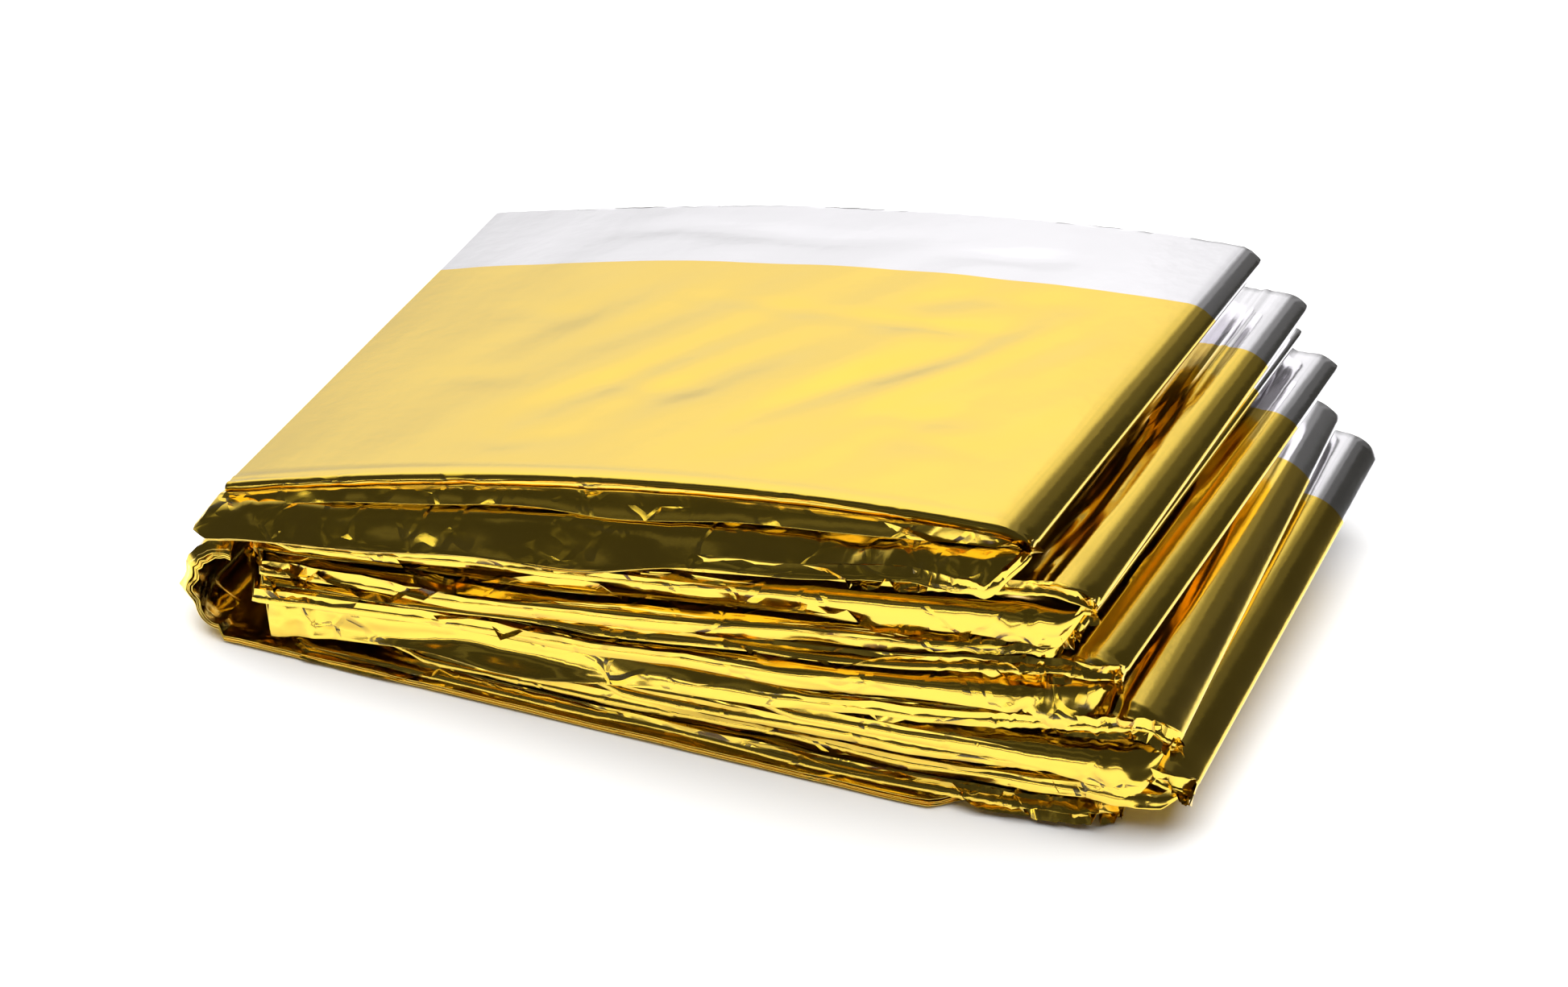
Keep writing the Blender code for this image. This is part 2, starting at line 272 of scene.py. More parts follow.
def hinge_y(number):
    """Where along y the lip of a pass leaves it."""
    return TOP_HINGE_Y[number - 1] if number <= len(TOP_HINGE_Y) else HINGE_Y


def pass_height(number, x):
    """Height of a pass at its front, at x."""
    left_x, _, right_x, _, _ = pass_ends(number, 0.0)
    return pass_point(number, np.clip((x - left_x) / (right_x - left_x), 0, 1), 0.0)[1]


def lip_values(number, x, rolled=False):
    """A lip's six rows of numbers at x, as its table gives them."""
    row = TOP_ROLL if rolled and number == 1 else LIPS[number - 1]
    places = LIP_PLACES + (pass_ends(number, 0.0)[2] - LIP_END,)
    rows = [np.interp(x, places, [place[axis] for place in part]) for part in row for axis in (0, 1)]
    for axis in (0, 1):
        rows[HEM + axis] = rows[HEM + axis] + rows[EDGE + axis]
    return np.array(rows)


def lip_share(number, x):
    """How much of a lip there is at x: from almost nothing to 1."""
    left_x, _, right_x, _, _ = pass_ends(number, 0.0)
    if number == COUNT:
        share = np.clip((right_x - BOTTOM_INSET - x) / BOTTOM_FADE, 0, 1)
    elif number % 2 or number == UPPER_FLAP:
        share = np.clip((right_x + TIP_REACH - x) / RIGHT_FOLDS[(number - 1) // 2].fade, 0, 1)
    else:
        share = np.clip((right_x - CORNER_INSET + CORNER_FADE - x) / CORNER_FADE, 0, 1)
    share = share ** FADE_POWER
    if number != COUNT:
        least = TOP_LEFT_LEAST if number <= len(TOP_HINGE_Y) else 0.0
        rise = np.clip((x - left_x) / LEFT_FADE, 0, 1)
        share = np.minimum(share, mix(least, 1, rise))
        for flap in (UPPER_FLAP, LOWER_FLAP):
            if number > flap:
                low = pass_height(flap, x) - lip_values(flap, x)[HEM + 1]
                share = np.minimum(share, np.clip(1 + (low - pass_height(number, x)) / FLAP_COVER, 0, 1))
    return np.maximum(share, LIP_LEAST)


def swell(x, middle, width, depth=1.0):
    """A smooth bump round a middle, of this width and depth."""
    return depth * np.exp(-(((x - middle) / width) ** 2))


def uneven(x, number, waves):
    """A factor near 1 that wanders along the lip of a pass."""
    factor = 1
    for height, length, shift in waves:
        factor = factor + height * np.sin(x / length + shift * number)
    return factor


def lip(number, x, rolled=False):
    """A lip's six rows of numbers with its fades, its corner and its unevenness."""
    values = lip_values(number, x, rolled)
    if number == UPPER_FLAP:
        values[SHOULDER + 1] += swell(x, *FLAP_DENT)
    if number == LOWER_FLAP:
        flare = swell(x, *FLAP_FLARE)
        values[HEM] += flare
        values[EDGE + 1] -= 0.3 * flare
    if number != COUNT and not (rolled and number == 1):
        straight = lip_values(number, x)
        values[EDGE + 1] *= uneven(x, number, FALL_WAVES)
        values[EDGE] *= uneven(x, number, OUT_WAVES)
        skirt = uneven(x, number, SKIRT_WAVES)
        for axis in (0, 1):
            values[HEM + axis] = values[EDGE + axis] + (values[HEM + axis] - straight[EDGE + axis]) * skirt
        right_x = pass_ends(number, 0.0)[2]
        corner_x = right_x - CORNER_LENGTH - CORNER_INSET
        near = np.clip((x - corner_x) / CORNER_LENGTH, 0, 1) ** CORNER_POWER
        values[EDGE + 1] += near * PASSES[number - 1].corner * 0.5
        values[HEM + 1] += near * PASSES[number - 1].corner
    share = lip_share(number, x)
    values[0::2] *= share
    values[1::2] *= share ** FALL_POWER
    return values


# %% [markdown]
# Those six numbers are only the bends of a lip. Between them the film curves, because it is thin
# and springy, so a smooth line is drawn past the bends, as a draughtsman's spline would be.

# %% The curve of a lip through its bends
HINGE_ROUND = 1.2        # how far behind the hinge the curve begins
HEM_NEAR = 0.6           # how far down the skirt its last bend is


def lip_curve(p, values):
    """Out and fall at p, from 0 behind the hinge to 1 at the hem: a smooth line by its bends."""
    zero = np.zeros_like(values[0])
    near = [mix(values[EDGE + axis], values[HEM + axis], HEM_NEAR) for axis in (0, 1)]
    past = [2 * values[HEM + axis] - near[axis] for axis in (0, 1)]
    points = [(zero - 2 * HINGE_ROUND, zero), (zero, zero), values[SHOULDER:SHOULDER + 2],
              values[EDGE:EDGE + 2], near, past]
    place = np.clip(p, 0, 1) * (len(points) - 2)
    result = [zero, zero]
    for k in range(len(points) - 2):
        u = place - k
        here = (u >= 0) & ((u < 1) | (k == len(points) - 3))
        weights = (0.5 * (1 - u) ** 2, 0.5 + u * (1 - u), 0.5 * u ** 2)
        for axis in (0, 1):
            value = sum(weight * points[k + i][axis] for i, weight in enumerate(weights))
            result[axis] = np.where(here, value, result[axis])
    return result


# %% [markdown]
# ## The strip's middle surface
# All the films follow one surface. Its columns run along the strip, close together where the film
# bends or crumples and further apart where nothing shows. Its rows run across the strip, from
# the front edge to the back.

# %% Columns along the strip
# A column in a fold blends the pass above, its upper one, with the pass below.
Column = namedtuple("Column", "upper lower blend t kind")
RIGHT_ARC, LEFT_ARC, WRAP_ARC = 10, 8, 24    # columns in a right fold, a left one and the upturned end
LEFT_END, RIGHT_END = 13.0, 27.0             # how much of a pass has close columns at each end
LEFT_STEP, RIGHT_STEP, MIDDLE_STEP, TOP_STEP = 0.85, 0.55, 2.5, 1.15


def places_along(number):
    """Shares of the way along a pass, closer together at its ends."""
    left_x, _, right_x, _, _ = pass_ends(number, 0.0)
    length = right_x - left_x
    if number == 1:
        return np.linspace(0, 1, round(length / TOP_STEP))
    middle = round((length - LEFT_END - RIGHT_END) / MIDDLE_STEP)
    parts = (np.arange(0, LEFT_END, LEFT_STEP),
             np.linspace(LEFT_END, length - RIGHT_END, middle),
             length - np.arange(0, RIGHT_END, RIGHT_STEP)[::-1])
    return np.unique(np.concatenate(parts)) / length


def strip_columns():
    """Every column of the strip, from the top sheet's left edge to the upturned end."""
    columns = []
    for number in range(1, COUNT + 1):
        rightward = number % 2 == 1
        places = places_along(number) if rightward else places_along(number)[::-1]
        columns += [Column(number, number, 0.0, t, "pass") for t in places]
        if number == COUNT:
            break
        steps, end = (RIGHT_ARC, 1.0) if rightward else (LEFT_ARC, 0.0)
        blends = [step / (steps + 1) for step in range(1, steps + 1)]
        columns += [Column(number, number + 1, blend, end, "fold") for blend in blends]
    return columns + [Column(COUNT, COUNT, 0.0, 0.0, "wrap")] * WRAP_ARC


COLUMNS = strip_columns()
UPPER = np.array([c.upper for c in COLUMNS])
LOWER = np.array([c.lower for c in COLUMNS])
BLEND = np.array([c.blend for c in COLUMNS])
KIND = np.array([c.kind for c in COLUMNS])
WRAPPED = KIND == "wrap"
print("columns along the strip:", len(COLUMNS))

# %% [markdown]
# At each share of the way from the hinge to the back edge, the strip is one line in x and z: its
# passes, a smooth cubic round every right fold, half a circle round every left one, and the turn
# up at the end of the bottom pass.


# %% The line of the strip at one share of the way to the back
def cubic(u, start, end, leave, arrive):
    """A line from start to end that leaves and arrives at these speeds."""
    return ((2 * u ** 3 - 3 * u ** 2 + 1) * start + (u ** 3 - 2 * u ** 2 + u) * leave
            + (3 * u ** 2 - 2 * u ** 3) * end + (u ** 3 - u ** 2) * arrive)


def base_line(share):
    """x and z of every column at this share."""
    x = np.zeros(len(COLUMNS))
    z = np.zeros(len(COLUMNS))
    for number in range(1, COUNT + 1):
        here = (UPPER == number) & (KIND == "pass")
        t = np.array([c.t for c, chosen in zip(COLUMNS, here) if chosen])
        x[here], z[here] = pass_point(number, t, share)
        if number == COUNT:
            break
        end = 1.0 if number % 2 else 0.0
        x0, z0 = pass_point(number, end, share)
        x1, z1 = pass_point(number + 1, end, share)
        here = (UPPER == number) & (LOWER == number + 1)
        if number % 2:
            loop = pass_ends(number, share)[4]
            length = RIGHT_FOLDS[(number - 1) // 2].roll * mix(1.0, ROLL_BACK, share)
            above, below = [ROLL_POWER * roll_share(n, loop, share) * loop / length
                            for n in (number, number + 1)]
            reach = TURN_REACH * (z0 - z1)
            leave, arrive = reach / math.hypot(1, above), -reach / math.hypot(1, below)
            x[here] = cubic(BLEND[here], x0, x1, leave, arrive)
            z[here] = cubic(BLEND[here], z0, z1, -above * leave, below * arrive)
        else:
            turn = math.pi * BLEND[here]
            radius = (z0 - z1) / 2
            x[here] = mix(x0, x1, BLEND[here]) - radius * np.sin(turn)
            z[here] = (z0 + z1) / 2 + radius * np.cos(turn)
    turn = WRAP_TURN * np.arange(1, WRAP_ARC + 1) / WRAP_ARC
    x0, z0 = pass_point(COUNT, 0.0, share)
    x[WRAPPED] = x0 - WRAP_RADIUS * np.sin(turn)
    z[WRAPPED] = z0 + WRAP_RADIUS * (1 - np.cos(turn))
    return x, z


# %% [markdown]
# In front of the hinge the rows follow the curve of each lip, and behind it they follow the line of
# the strip. Round a fold the lips of its two passes blend into each other.


# %% Rows across the strip, and the whole middle surface
def middle_surface(lip_rows, across_rows, edge_factor, rolled):
    """Points of the middle surface: rows from the front edge to the back, columns along."""
    x0, z0 = base_line(0.0)
    bases = []
    for pick in (UPPER, LOWER):
        values = np.zeros((6, len(COLUMNS)))
        hinge = np.zeros(len(COLUMNS))
        factor = np.ones(len(COLUMNS))
        for number in range(1, COUNT + 1):
            here = pick == number
            values[:, here] = lip(number, x0[here], rolled)
            hinge[here] = hinge_y(number)
            factor[here] = edge_factor(number, x0[here])
        bases.append((values, hinge, factor))
    values = mix(bases[0][0], bases[1][0], BLEND)
    hinge = mix(bases[0][1], bases[1][1], BLEND)
    factor = mix(bases[0][2], bases[1][2], BLEND)
    at_middle = lip(COUNT, np.array([TOP_LENGTH / 2]))
    draw_in = 1 - WRAP_DRAW_IN * np.arange(1, WRAP_ARC + 1) / WRAP_ARC
    values[:, WRAPPED] = at_middle * draw_in
    factor[WRAPPED] = 1.0
    flared = np.where(UPPER <= len(TOP_HINGE_Y), LEFT_FLARE, 0.0)
    slanted = mix(np.take(LEFT_SLANT, UPPER - 1), np.take(LEFT_SLANT, LOWER - 1), BLEND)
    rows = []
    for p in lip_rows:
        out, fall = lip_curve(p * factor, values)
        flare = flared * np.maximum(out, 0) * np.clip(1 - x0 / FLARE_LENGTH, 0, 1)
        slant = slanted * np.clip(out / SLANT_OUT, 0, SLANT_MOST)
        slant = slant * np.clip(1 - (x0 - SLANT_START) / SLANT_LENGTH, 0, 1) * (1 - WRAPPED)
        rows.append(np.stack([x0 - flare + slant, hinge - out, z0 - fall], axis=1))
    for share in across_rows:
        x, z = base_line(share)
        y = mix(hinge, BACK_Y, share)
        rows.append(np.stack([x, y, z], axis=1))
    return np.array(rows)


def normals_of(points):
    """The unit normal of a grid of points at each of them."""
    along = np.gradient(points, axis=1)
    across = np.gradient(points, axis=0)
    normal = np.cross(along, across)
    return normal / np.maximum(np.linalg.norm(normal, axis=2, keepdims=True), 1e-9)


# %% [markdown]
# ## Creases and crumples
# Foil is stiff for its weight: it crumples into flat facets with sharp ridges between them, and
# where it is held flat it shows only long soft troughs. A noise texture would make it look like
# soft cloth, so the facets come from four triangle waves of unlike lengths that cross each other.


# %% Facets of crumpled film
def triangle_wave(value):
    """A wave from -1 to 1 with straight sides, one for each whole number."""
    return 2 * np.abs(2 * (value - np.floor(value + 0.5))) - 1


def facets(x, y, seed, size):
    """Crumpled height from -1 to 1 over a plane, with facets about size millimetres across."""
    total = 0.0
    for k in range(4):    # each wave has its own direction and length, and is bent by another
        angle = seed * 1.7 + k * 0.83
        length = size * (1.0 + 0.31 * k)
        sideways = x * math.sin(angle * 1.3) + y * math.cos(angle * 2.1)
        bent = 0.32 * triangle_wave(sideways / (1.9 * length) + seed)
        forward = x * math.cos(angle) + y * math.sin(angle)
        total = total + triangle_wave(forward / length + bent + 0.37 * seed * k)
    return total / 2.6


# %% [markdown]
# The lips are crushed most in their corners, beside the folds. Between those they carry small
# creases, and long and fine folds that run along the lip, where the bundle was drawn through the
# hand. The upper flap is the smoothest of them.

# %% Crumpled lips
BIG_FACET, SMALL_FACET, LONG_FACET, FINE_FACET = 7.5, 3.4, 2.7, 1.5    # sizes in millimetres
BIG_LEAST = 0.08                  # height of the big facets away from the corners
SMALL_LEAST, SMALL_AT_CORNER = 0.07, 0.30
LIP_FOLDS = (0.11, 0.05)          # heights of the long and the fine folds
UPPER_FLAP_FOLDS = (0.02, 0.0)


def crumple(points, film_seed):
    """How far each point moves along the normal: strong on the lips near the folds' ends."""
    x, y, z = points[..., 0], points[..., 1], points[..., 2]
    moved = np.zeros(x.shape)
    for pick, weight in ((UPPER, 1 - BLEND), (LOWER, BLEND)):
        for number in range(1, COUNT + 1):
            here = pick == number
            row = PASSES[number - 1]
            left_x, _, right_x, _, _ = pass_ends(number, 0.0)
            xs = x[:, here]
            down = y[:, here] * 1.4 - z[:, here] * 1.1
            front = np.clip((hinge_y(number) + 0.5 - y[:, here]) / 3.5, 0, 1) ** 1.3
            big = (BIG_LEAST + row.right_crumple * swell(xs, right_x - 8, 8.5)
                   + row.left_crumple * swell(xs, left_x + 5, 9))
            small = SMALL_LEAST + SMALL_AT_CORNER * swell(xs, right_x - 6, 7) * row.right_crumple
            long_folds, fine_folds = UPPER_FLAP_FOLDS if number == UPPER_FLAP else LIP_FOLDS
            sign = 1 if number % 2 else -1
            moved[:, here] += weight[here] * sign * front * (
                big * facets(xs, down + 5 * number, number, BIG_FACET)
                + small * facets(xs, down, number + 0.5, SMALL_FACET)
                + long_folds * facets(xs * 0.2, down, number + 2.3, LONG_FACET)
                + fine_folds * facets(xs * 0.1, down, number + 4.1, FINE_FACET))
    turned = z[:, WRAPPED] * 1.5 + x[:, WRAPPED]
    moved[:, WRAPPED] = (0.85 * facets(turned + 40, y[:, WRAPPED], 2.0, 5.5)
                         + 0.18 * facets(turned, y[:, WRAPPED], film_seed, 3.0))
    return moved


# %% [markdown]
# The two deep flaps hang free and nearly flat, so old creases show on them as thin raised lines
# that wander and meet. Beside each right fold the film was pressed and let go, which leaves low
# ridges along the fold.


# %% Lines on the flaps and ridges beside the right folds
CRINKLE_WIDTH = 0.22                    # of a line, as a share of the way to the next
CRINKLE_HEIGHT, CRINKLE_SWELL = 0.16, 0.20
# Sharp ridges: how high, how many radians a millimetre, and how they drift from the fold's line.
STREAKS = ((0.20, 1.05, 1.0), (0.28, 0.42, 0.5), (0.16, 0.77, -0.8))
STREAK_REACH, STREAK_FADE = 30, 8       # how far from the fold they end


def flap_crinkles(points):
    """Thin raised lines on the two deep flaps, 9 mm apart on the upper and 6.5 mm on the lower."""
    x, y, z = points[..., 0], points[..., 1], points[..., 2]
    height = np.zeros(x.shape)
    for flap, size in ((UPPER_FLAP, 9.0), (LOWER_FLAP, 6.5)):
        here = UPPER == flap
        xs = x[:, here]
        down = 1.3 * (hinge_y(flap) - y[:, here]) - 0.6 * z[:, here]
        front = np.clip((hinge_y(flap) - 1.5 - y[:, here]) / 1.5, 0, 1)
        total = 0.0
        for k in range(3):
            angle = 0.5 + k * 1.15 + 0.4 * flap
            bent = 0.28 * np.sin(xs / 7.3 + 2.2 * k + down / 5.1) + 0.16 * np.sin(xs / 3.1 - down / 2.7 + k)
            forward = xs * math.cos(angle) + down * math.sin(angle)
            line = np.abs(triangle_wave(forward / size + bent + 0.3 * k))
            patch = np.clip(0.6 + np.sin(xs / 6.7 + 3.1 * k + down / 4.3), 0, 1)
            total = total + patch * np.clip(1 - line / CRINKLE_WIDTH, 0, 1)
        broad = facets(xs, down, 2.6 + flap, size)
        height[:, here] = front * (CRINKLE_HEIGHT * total + CRINKLE_SWELL * broad)
    return height


def fold_streaks(points):
    """Low ridges beside each right fold but the top one."""
    x, y = points[..., 0], points[..., 1]
    share = np.clip((y - HINGE_Y) / (BACK_Y - HINGE_Y), 0, 1)
    height = np.zeros(x.shape)
    for number in range(3, COUNT, 2):
        here = (UPPER == number) & (KIND == "pass")
        right = RIGHT_FOLDS[(number - 1) // 2]
        back = mix(right.front_x, right.back_x, share[:, here]) - x[:, here]
        drift = 1.4 * np.sin(y[:, here] / 19.0 + number) + 0.7 * np.sin(y[:, here] / 8.0 + 2 * number)
        lines = 0.09 * np.sin((back - drift * 0.6) * 3.3)
        for tall, pace, swing in STREAKS:
            lines = lines + tall * (1 - np.abs(np.sin((back + swing * drift) * pace + number))) ** 2
        ends = np.clip((back - 3) / 2, 0, 1) * np.clip((STREAK_REACH - back) / STREAK_FADE, 0, 1)
        height[:, here] = lines * ends
    return height


# %% [markdown]
# The top sheet is held flat by the folds round it, so it only sags. Its troughs are placed
# along broken lines, one row each in millimetres, and a negative depth makes a ridge.

# %% Troughs and ridges of the top sheet
Trough = namedtuple("Trough", "points width depth")
TROUGHS = (
    Trough(((40.0, 30.0), (50.5, 38.0), (61.0, 48.0), (69.0, 59.0)), 3.6, -0.16),
    Trough(((44.0, 25.0), (57.0, 38.0), (66.0, 49.0)), 3.4, 0.16),
    Trough(((66.0, 15.0), (80.0, 33.0), (90.0, 45.0), (98.0, 56.0)), 3.4, -0.24),
    Trough(((80.0, 26.0), (93.7, 41.8), (105.5, 51.4), (114.0, 64.0)), 3.0, 0.30),
    Trough(((88.0, 22.0), (99.0, 38.0), (109.0, 50.5), (119.0, 63.0)), 3.0, -0.20),
    Trough(((98.0, 20.0), (108.0, 34.0), (118.0, 48.0)), 3.2, 0.12),
    Trough(((56.0, 63.8), (81.8, 59.7), (104.0, 58.7), (112.0, 59.5)), 1.5, 0.14),
    Trough(((88.0, 57.5), (104.0, 58.4)), 1.2, 0.14),
    Trough(((50.9, 36.2), (63.0, 34.5), (76.0, 35.6)), 2.6, 0.12),
    Trough(((24.0, 38.4), (41.0, 37.2)), 2.6, 0.09),
    Trough(((96.0, 32.0), (116.0, 34.0)), 2.4, 0.14),
    Trough(((102.0, 26.4), (120.0, 25.4)), 2.4, 0.12),
    Trough(((39.5, 20.6), (44.0, 17.4), (60.0, 21.0)), 2.4, 0.10),
    Trough(((90.0, 64.0), (102.0, 68.0), (124.0, 69.5)), 2.2, 0.12),
    Trough(((25.0, 60.0), (45.0, 56.0)), 3.2, 0.08),
    Trough(((36.0, 84.6), (47.0, 86.4), (73.0, 82.7), (93.0, 85.2)), 2.2, 0.16),
    Trough(((92.0, 80.4), (104.0, 81.4), (116.0, 82.4)), 1.6, 0.20),
    Trough(((50.0, 78.0), (66.0, 79.5)), 2.4, -0.08),
)
TROUGH_DEPTH = 1.5                 # every depth in the table is multiplied by this


def behind_hinge(y):
    """From 0 at the top sheet's front edge to 1 where it lies flat."""
    return np.clip((y - 10) / 6, 0, 1)


def distance_to_line(x, y, points):
    """Distance to a broken line, and how far along it the nearest place is, from 0 to 1."""
    best = np.full(x.shape, 1e9)
    place = np.zeros(x.shape)
    parts = len(points) - 1
    for k in range(parts):
        ax, ay = points[k]
        dx, dy = points[k + 1][0] - ax, points[k + 1][1] - ay
        t = np.clip(((x - ax) * dx + (y - ay) * dy) / (dx * dx + dy * dy), 0, 1)
        gap = np.hypot(x - ax - t * dx, y - ay - t * dy)
        nearer = gap < best
        best = np.where(nearer, gap, best)
        place = np.where(nearer, (k + t) / parts, place)
    return best, place


def top_sheet_relief(x, y):
    """Height of the top sheet's troughs and ridges, and a slack that swells between them."""
    height = np.zeros(x.shape)
    for trough in TROUGHS:
        gap, place = distance_to_line(x, y, trough.points)
        ends = np.sin(math.pi * np.clip(place, 0.04, 0.96)) ** 0.7
        height -= TROUGH_DEPTH * trough.depth * ends * swell(gap, 0, trough.width)
    slanting = (0.788 * x - 0.615 * y) / 1.9 + 1.1 * np.sin(y / 17.0) + 0.8 * np.sin(x / 23.0)
    patch = swell(x, 86, 40) * swell(y, 44, 27) * (0.65 + 0.35 * np.sin((x + y) / 13.0))
    height += 0.20 * patch * np.sin(slanting)
    height += 0.10 * np.sin(x / 9.0 + y / 14.0) * np.sin(y / 11.0 - x / 23.0)
    height += 0.05 * np.sin(x / 4.1 - y / 6.3 + 1.0) * np.sin(x / 13.0 + 2.0)
    at_left, at_right = np.clip((x - 3) / 10, 0, 1), np.clip((TOP_LENGTH + 4 - x) / 10, 0, 1)
    return height * behind_hinge(y) * at_left * at_right


# %% [markdown]
# ## The films
# Each pass of the real strip is a bundle of about nineteen loose films. Four of them are modelled:
# the outer one, whose gold and silver face shows on top and on every right fold, the one on the
# other side, and two between them, which show as folded edges at the front. Every film starts
# as a flat grid, is folded onto the strip, and has its front and back edges turned under. Where a
# fold is open at the front, the inner films sag into it.

# %% How far the films stand apart
# A film's offset is its distance from the middle surface, and inward is how far it sags in a fold.
Film = namedtuple("Film", "name offset inward lip_rows across_rows seed share")
HALF_BUNDLE = 0.42       # the offset of the outer film
FAN = 0.3                # how far the films part at the edge of a lip, as a share of their offset
WRAP_FAN = 0.2           # and where the bottom pass turns up
WRAP_CURL = 1.0          # how far its front edge curls inwards there
UNDER_TOP = 0.35         # how far the films under the top sheet keep below its troughs


def open_fold(points, p):
    """Where a right fold gapes at the front, and its inner films sag into the gap."""
    gape = np.zeros(points.shape[:2])
    for pick, weight in ((UPPER, 1 - BLEND), (LOWER, BLEND)):
        for number in range(1, COUNT + 1):
            here = (pick == number) & (KIND == "pass")
            loop = RIGHT_FOLDS[(number - 1) // 2].front_loop
            back = pass_ends(number, 0.0)[2] - points[:, here, 0]
            size = np.clip((loop - 1.6) / 2.6, 0, 1.5)
            front = np.clip((HINGE_Y + 4 - points[:, here, 1]) / 5, 0, 1) * (0.5 + 0.5 * p)
            inside = np.clip((back - 1.5) / 6, 0, 1) * np.exp(-np.maximum(back - 14, 0) / 16)
            gape[:, here] = size * front * inside
    return gape


def stand_off(film, middle, p):
    """How far each point of a film is moved along the normal of the middle surface."""
    turned = np.cumsum(WRAPPED) / WRAP_ARC * WRAPPED
    fan = 1 + FAN * p + WRAP_FAN * np.sin(math.pi * turned)
    moved = film.offset * fan + crumple(middle, film.seed) - WRAP_CURL * WRAPPED * p ** 2
    moved = moved - film.inward * open_fold(middle, p)
    if film.name == "outer_film":
        moved = moved + fold_streaks(middle)
    if film.name in ("outer_film", "inner_film"):
        moved = moved + flap_crinkles(middle)
    else:
        covered = (UPPER == 1) & (KIND == "pass")
        moved = moved - UNDER_TOP * covered * behind_hinge(middle[..., 1])
    return moved


# %% [markdown]
# No film ends in a knife edge: it was folded lengthwise, so every edge is a tight bend that turns
# back under. Four short rows make the bend and one more runs back inside.

# %% Turned edges, and all the points of a film
TURN_ROWS = 4
TURN_RADIUS = 0.08
TURN_RETURN = 2.2        # how far the film runs back inside
RAGGED_BACK = 0.18       # how uneven the back edge is
FLOOR_GAP = 0.05         # the least height of the lowest film over the surface it lies on
FLOOR_SPREAD = 0.3       # and of the others, as a share of how much further in they are


def turned_edge(points, normals, side, end):
    """Rows that turn the film under at one edge, from its edge row inwards."""
    edge, inner = (points[0], points[4]) if end == "front" else (points[-1], points[-2])
    normal = normals[0] if end == "front" else normals[-1]
    forward = edge - inner
    forward /= np.maximum(np.linalg.norm(forward, axis=1, keepdims=True), 1e-6)
    rows = []
    for step in range(1, TURN_ROWS + 1):
        angle = math.pi * step / TURN_ROWS
        ahead, under = TURN_RADIUS * math.sin(angle), TURN_RADIUS * (1 - math.cos(angle))
        rows.append(edge + forward * ahead - normal * side * under)
    rows.append(rows[-1] - forward * TURN_RETURN)
    return rows[::-1] if end == "front" else rows


def film_points(film):
    """All the points of a film, and how many rows its front edge adds."""
    rolled = film.name in ("outer_film", "second_film")
    middle = middle_surface(film.lip_rows, film.across_rows, film.share, rolled)
    normals = normals_of(middle)
    p = np.concatenate([film.lip_rows, np.zeros(len(film.across_rows))])[:, None]
    points = middle + normals * stand_off(film, middle, p)[..., None]
    x = points[..., 0]
    at_back = np.clip((points[..., 1] - BACK_Y + 4) / 4, 0, 1)
    waves = np.sin(x / 9.0 + UPPER) + 0.5 * triangle_wave(x / 4.3 + film.seed) - 0.6
    points[..., 1] += RAGGED_BACK * at_back * waves
    side = 1 if film.offset > 0 else -1
    front = turned_edge(points, normals, side, "front")
    back = turned_edge(points, normals, side, "back")
    whole = np.concatenate([np.array(front), points, np.array(back)])
    whole[..., 2] = np.maximum(whole[..., 2], FLOOR_GAP + FLOOR_SPREAD * (HALF_BUNDLE - film.offset))
    return whole, len(front)


# %% [markdown]
# A film is a grid whose vertices are laid on those points. It keeps a map of its flat self in
# metres, along the strip and across it from the hinge, so that colours and wrinkles follow the film
# round every fold.


# %% Lay a flat grid on the points
SHARP_CREASE = math.radians(34)    # film that bends more than this between two faces is shaded sharp


def lay_grid(name, points, hinge_row):
    """A flat grid, folded onto these points, with a map in metres along and across the film."""
    rows, columns = points.shape[:2]
    bpy.ops.object.select_all(action="DESELECT")
    bpy.ops.mesh.primitive_grid_add(x_subdivisions=columns - 1, y_subdivisions=rows - 1, size=1)
    film = bpy.context.object
    film.name = film.data.name = name
    placed = (points - np.array([ORIGIN_X, ORIGIN_Y, 0])) * MM
    film.data.vertices.foreach_set("co", placed.reshape(-1).astype(np.float32))
    steps_along = np.linalg.norm(np.diff(points[rows // 2], axis=0), axis=1)
    along = np.concatenate([[0], np.cumsum(steps_along)]) * MM
    steps_across = np.linalg.norm(np.diff(points, axis=0), axis=2)
    across = np.concatenate([np.zeros((1, columns)), np.cumsum(steps_across, axis=0)]) * MM
    across = across - across[hinge_row]
    chart = np.stack([np.broadcast_to(along, (rows, columns)), across], axis=2).reshape(-1, 2)
    corners = np.zeros(len(film.data.loops), np.int32)
    film.data.loops.foreach_get("vertex_index", corners)
    film.data.uv_layers.active.name = "film"
    film.data.uv_layers.active.data.foreach_set("uv", chart[corners].reshape(-1).astype(np.float32))
    film.data.update()
    bpy.ops.object.shade_smooth_by_angle(angle=SHARP_CREASE)
    return film


# %% [markdown]
# The four films differ in how far they stand from the middle surface and in how much of each lip
# they have. A film that ends a little short lets the one beside it show as one more bright line.


# %% Make the four films
def share_by_pass(default, special):
    """How much of each lip a film has: some end short, so the one below shows."""
    def share(number, x):
        uneven = 0.05 * np.sin(x / 23.0 + 1.3 * number) + 0.03 * np.sin(x / 6.1 + number)
        full = special.get(number, default + 0.08 * math.sin(2.4 * number))
        return np.clip(full + uneven * (full < 0.999), 0.1, 1.0)
    return share


LIP_FINE = tuple(np.linspace(1, 0, 18))
LIP_COARSE = tuple(np.linspace(1, 0, 14))
ACROSS_FINE = tuple(np.concatenate([[0.02, 0.05], np.linspace(0.08, 0.985, 25), [1.0]]))
ACROSS_COARSE = (0.03, 0.08, 0.20, 0.40, 0.60, 0.80, 0.93, 1.0)

